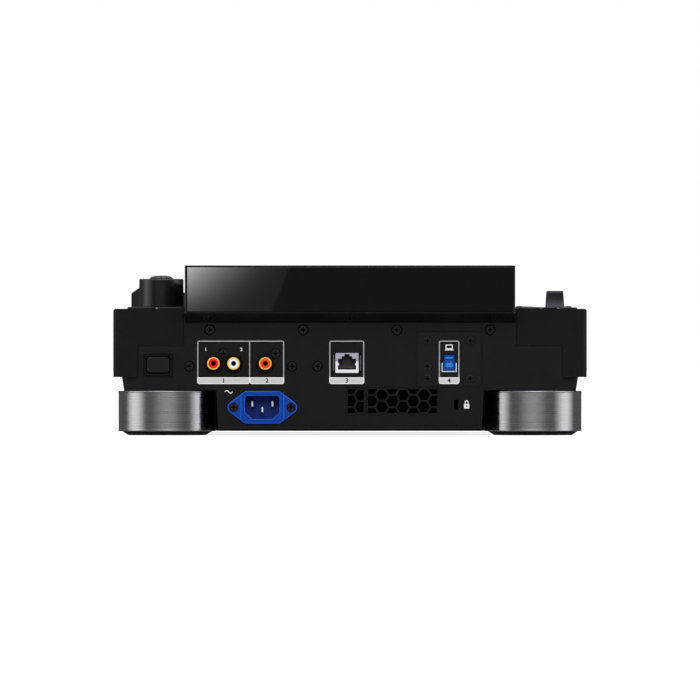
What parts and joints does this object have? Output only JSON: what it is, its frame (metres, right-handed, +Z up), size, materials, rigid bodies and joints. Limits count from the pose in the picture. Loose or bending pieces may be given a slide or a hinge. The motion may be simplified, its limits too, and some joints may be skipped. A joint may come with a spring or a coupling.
{
  "type": "tabletop dj media player",
  "caption": "Tabletop DJ media player: black case on four turned metal feet, tilted touch screen, jog wheel, keys, fader and a rear connector panel.",
  "frame": {"origin": "centre of the outer box in plan, at the plane the feet stand on", "axes": "+Z up, +Y to the rear connector panel, +X to the user's right"},
  "size_m": [0.329, 0.453, 0.118],
  "materials": {
    "case_plastic": "black moulded plastic, fine satin texture",
    "screen_plastic": "black moulded plastic, satin",
    "black_steel": "black powder-coated steel sheet",
    "foot_metal": "turned and brushed round the foot",
    "foot_rubber": "matt black rubber",
    "touch_glass": "glossy, painted black behind",
    "module_metal": "plain sheet",
    "jog_base_plastic": "black moulded plastic",
    "jog_screen": "clear window over a dark display",
    "platter_plastic": "dark satin plastic",
    "platter_plate": "dark anodised, turned grooves",
    "board": "green solder mask",
    "inlet_blue": "blue moulded plastic",
    "jack_plastic": "black moulded plastic",
    "jack_shell": "nickel-plated sheet",
    "screw_steel": "blackened steel",
    "shaft_metal": "turned",
    "knob_plastic": "black, soft satin",
    "lever_metal": "dark grey satin",
    "button_plastic": "black moulded plastic",
    "transport_plastic": "black with a metal ring",
    "pad_plastic": "translucent grey silicone",
    "key_plastic": "dark grey moulded plastic"
  },
  "bodies": {
    "case": {"upper_case": "case_plastic", "bottom_chassis": "black_steel", "rear_panel": "black_steel", "screen_housing": "screen_plastic", "screen_glass": "touch_glass", "screen_module": "module_metal", "screen_back_glass": "touch_glass", "foot_rings": "foot_metal", "foot_pads": "foot_rubber", "jog_base": "jog_base_plastic", "jog_display": "jog_screen", "main_board": "board", "key_board": "board", "power_supply": "board", "mains_inlet": "inlet_blue", "phono_jacks": "jack_plastic", "network_jack": "jack_shell", "usb_b_port": "jack_shell", "usb_cover_plate": "black_steel", "usb_a_port": "jack_shell", "card_reader": "jack_plastic", "fader_body": "jack_shell", "encoders": "jack_shell", "power_switch": "jack_plastic", "case_screws": "screw_steel"},
    "jog_wheel": {"jog_platter": "platter_plastic", "jog_top_plate": "platter_plate"},
    "selector_plunger": {"selector_plunger": "shaft_metal"},
    "selector_knob": {"selector_knob": "knob_plastic"},
    "vinyl_speed_knob": {"vinyl_speed_knob": "knob_plastic"},
    "jog_adjust_knob": {"jog_adjust_knob": "knob_plastic"},
    "direction_lever": {"direction_lever": "lever_metal"},
    "fader_cap": {"fader_cap": "knob_plastic"},
    "card_door": {"card_door": "button_plastic"},
    "power_button": {"power_button": "button_plastic"},
    "play_key": {"play_key": "transport_plastic"},
    "cue_key": {"cue_key": "transport_plastic"},
    "hot_cue_1": {"hot_cue_1": "pad_plastic"},
    "hot_cue_2": {"hot_cue_2": "pad_plastic"},
    "hot_cue_3": {"hot_cue_3": "pad_plastic"},
    "hot_cue_4": {"hot_cue_4": "pad_plastic"},
    "hot_cue_5": {"hot_cue_5": "pad_plastic"},
    "hot_cue_6": {"hot_cue_6": "pad_plastic"},
    "hot_cue_7": {"hot_cue_7": "pad_plastic"},
    "hot_cue_8": {"hot_cue_8": "pad_plastic"},
    "loop_in_key": {"loop_in_key": "key_plastic"},
    "loop_out_key": {"loop_out_key": "key_plastic"},
    "reloop_key": {"reloop_key": "key_plastic"},
    "beat_loop_keys": {"beat_loop_keys": "key_plastic"},
    "beat_jump_keys": {"beat_jump_keys": "key_plastic"},
    "call_key": {"call_key": "key_plastic"},
    "track_search_keys": {"track_search_keys": "key_plastic"},
    "search_keys": {"search_keys": "key_plastic"},
    "screen_keys": {"screen_keys": "key_plastic"},
    "mode_keys": {"mode_keys": "key_plastic"},
    "usb_stop_key": {"usb_stop_key": "key_plastic"},
    "browse_keys": {"browse_keys": "key_plastic"},
    "jog_mode_key": {"jog_mode_key": "key_plastic"},
    "sync_keys": {"sync_keys": "key_plastic"},
    "tempo_keys": {"tempo_keys": "key_plastic"}
  },
  "joints": [
    {"name": "jog_turn", "type": "hinge", "parent": "case", "child": "jog_wheel", "pos_m": [0, -0.0985, 0.088], "axis": [0, 0, 1], "continuous": true},
    {"name": "selector_press", "type": "slide", "parent": "case", "child": "selector_plunger", "axis": [0, 0, -1], "range_m": [0, 0.001], "stiffness_N_per_m": 1500},
    {"name": "selector_turn", "type": "hinge", "parent": "selector_plunger", "child": "selector_knob", "pos_m": [0.1318, 0.15, 0.098], "axis": [0, 0, 1], "continuous": true},
    {"name": "vinyl_speed_turn", "type": "hinge", "parent": "case", "child": "vinyl_speed_knob", "pos_m": [0.1221, 0.05, 0.093], "axis": [0, 0, 1], "range_deg": [-140, 140]},
    {"name": "jog_adjust_turn", "type": "hinge", "parent": "case", "child": "jog_adjust_knob", "pos_m": [0.1415, 0.05, 0.093], "axis": [0, 0, 1], "range_deg": [-140, 140]},
    {"name": "direction_lever_rock", "type": "hinge", "parent": "case", "child": "direction_lever", "pos_m": [-0.146, -0.0505, 0.083], "axis": [1, 0, 0], "range_deg": [-12, 12]},
    {"name": "tempo_slide", "type": "slide", "parent": "case", "child": "fader_cap", "axis": [0, 1, 0], "range_m": [-0.05, 0.05]},
    {"name": "card_door_hinge", "type": "hinge", "parent": "case", "child": "card_door", "pos_m": [-0.1395, 0.1782, 0.0867], "axis": [-1, 0, 0], "range_deg": [0, 95]},
    {"name": "power_press", "type": "slide", "parent": "case", "child": "power_button", "axis": [0, -1, 0], "range_m": [0, 0.002], "stiffness_N_per_m": 800},
    {"name": "play_key_press", "type": "slide", "parent": "case", "child": "play_key", "axis": [0, 0, -1], "range_m": [0, 0.0008], "stiffness_N_per_m": 400},
    {"name": "cue_key_press", "type": "slide", "parent": "case", "child": "cue_key", "axis": [0, 0, -1], "range_m": [0, 0.0008], "stiffness_N_per_m": 400},
    {"name": "hot_cue_1_press", "type": "slide", "parent": "case", "child": "hot_cue_1", "axis": [0, 0, -1], "range_m": [0, 0.0008], "stiffness_N_per_m": 400},
    {"name": "hot_cue_2_press", "type": "slide", "parent": "case", "child": "hot_cue_2", "axis": [0, 0, -1], "range_m": [0, 0.0008], "stiffness_N_per_m": 400},
    {"name": "hot_cue_3_press", "type": "slide", "parent": "case", "child": "hot_cue_3", "axis": [0, 0, -1], "range_m": [0, 0.0008], "stiffness_N_per_m": 400},
    {"name": "hot_cue_4_press", "type": "slide", "parent": "case", "child": "hot_cue_4", "axis": [0, 0, -1], "range_m": [0, 0.0008], "stiffness_N_per_m": 400},
    {"name": "hot_cue_5_press", "type": "slide", "parent": "case", "child": "hot_cue_5", "axis": [0, 0, -1], "range_m": [0, 0.0008], "stiffness_N_per_m": 400},
    {"name": "hot_cue_6_press", "type": "slide", "parent": "case", "child": "hot_cue_6", "axis": [0, 0, -1], "range_m": [0, 0.0008], "stiffness_N_per_m": 400},
    {"name": "hot_cue_7_press", "type": "slide", "parent": "case", "child": "hot_cue_7", "axis": [0, 0, -1], "range_m": [0, 0.0008], "stiffness_N_per_m": 400},
    {"name": "hot_cue_8_press", "type": "slide", "parent": "case", "child": "hot_cue_8", "axis": [0, 0, -1], "range_m": [0, 0.0008], "stiffness_N_per_m": 400},
    {"name": "loop_in_key_press", "type": "slide", "parent": "case", "child": "loop_in_key", "axis": [0, 0, -1], "range_m": [0, 0.0008], "stiffness_N_per_m": 400},
    {"name": "loop_out_key_press", "type": "slide", "parent": "case", "child": "loop_out_key", "axis": [0, 0, -1], "range_m": [0, 0.0008], "stiffness_N_per_m": 400},
    {"name": "reloop_key_press", "type": "slide", "parent": "case", "child": "reloop_key", "axis": [0, 0, -1], "range_m": [0, 0.0008], "stiffness_N_per_m": 400},
    {"name": "beat_loop_keys_press", "type": "slide", "parent": "case", "child": "beat_loop_keys", "axis": [0, 0, -1], "range_m": [0, 0.0008], "stiffness_N_per_m": 400},
    {"name": "beat_jump_keys_press", "type": "slide", "parent": "case", "child": "beat_jump_keys", "axis": [0, 0, -1], "range_m": [0, 0.0008], "stiffness_N_per_m": 400},
    {"name": "call_key_press", "type": "slide", "parent": "case", "child": "call_key", "axis": [0, 0, -1], "range_m": [0, 0.0008], "stiffness_N_per_m": 400},
    {"name": "track_search_keys_press", "type": "slide", "parent": "case", "child": "track_search_keys", "axis": [0, 0, -1], "range_m": [0, 0.0008], "stiffness_N_per_m": 400},
    {"name": "search_keys_press", "type": "slide", "parent": "case", "child": "search_keys", "axis": [0, 0, -1], "range_m": [0, 0.0008], "stiffness_N_per_m": 400},
    {"name": "screen_keys_press", "type": "slide", "parent": "case", "child": "screen_keys", "axis": [0, 0.1781, -0.984], "range_m": [0, 0.0008], "stiffness_N_per_m": 400},
    {"name": "mode_keys_press", "type": "slide", "parent": "case", "child": "mode_keys", "axis": [0, 0, -1], "range_m": [0, 0.0008], "stiffness_N_per_m": 400},
    {"name": "usb_stop_key_press", "type": "slide", "parent": "case", "child": "usb_stop_key", "axis": [0, 0, -1], "range_m": [0, 0.0008], "stiffness_N_per_m": 400},
    {"name": "browse_keys_press", "type": "slide", "parent": "case", "child": "browse_keys", "axis": [0, 0, -1], "range_m": [0, 0.0008], "stiffness_N_per_m": 400},
    {"name": "jog_mode_key_press", "type": "slide", "parent": "case", "child": "jog_mode_key", "axis": [0, 0, -1], "range_m": [0, 0.0008], "stiffness_N_per_m": 400},
    {"name": "sync_keys_press", "type": "slide", "parent": "case", "child": "sync_keys", "axis": [0, 0, -1], "range_m": [0, 0.0008], "stiffness_N_per_m": 400},
    {"name": "tempo_keys_press", "type": "slide", "parent": "case", "child": "tempo_keys", "axis": [0, 0, -1], "range_m": [0, 0.0008], "stiffness_N_per_m": 400}
  ]
}
